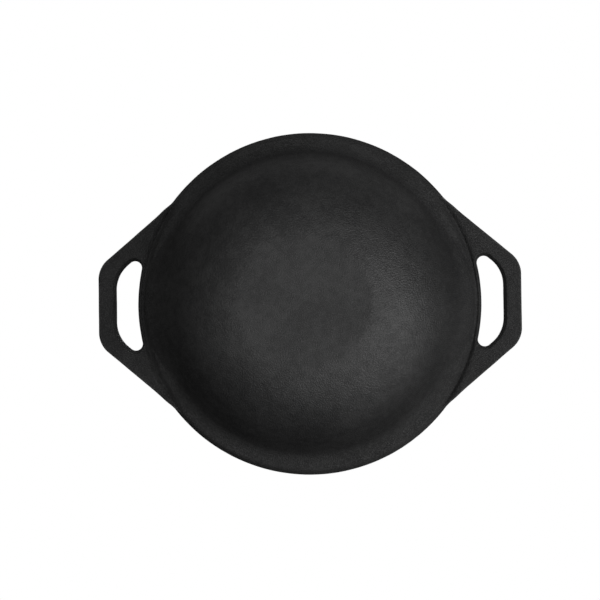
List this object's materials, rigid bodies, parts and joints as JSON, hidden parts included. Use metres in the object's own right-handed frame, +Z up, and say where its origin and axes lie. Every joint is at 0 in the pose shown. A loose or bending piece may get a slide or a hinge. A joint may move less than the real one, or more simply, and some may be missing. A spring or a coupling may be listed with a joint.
{
  "type": "kadai",
  "caption": "Cast-iron kadai: a deep round bowl on a flat foot, with a turned-out lip and a flat slotted loop handle on each side.",
  "frame": {"origin": "under the middle of the flat foot, where the kadai stands", "axes": "+Z up out of the mouth, X along the line through both handles, Y across them"},
  "size_m": [0.3222, 0.261, 0.078],
  "materials": {
    "seasoned_iron": "near-black seasoned cast iron with a fine pebbled skin, satin"
  },
  "bodies": {
    "root": {"foot_disc": "seasoned_iron", "bowl_wall": "seasoned_iron", "rim_lip": "seasoned_iron", "handle_left": "seasoned_iron", "handle_right": "seasoned_iron"}
  },
  "joints": []
}
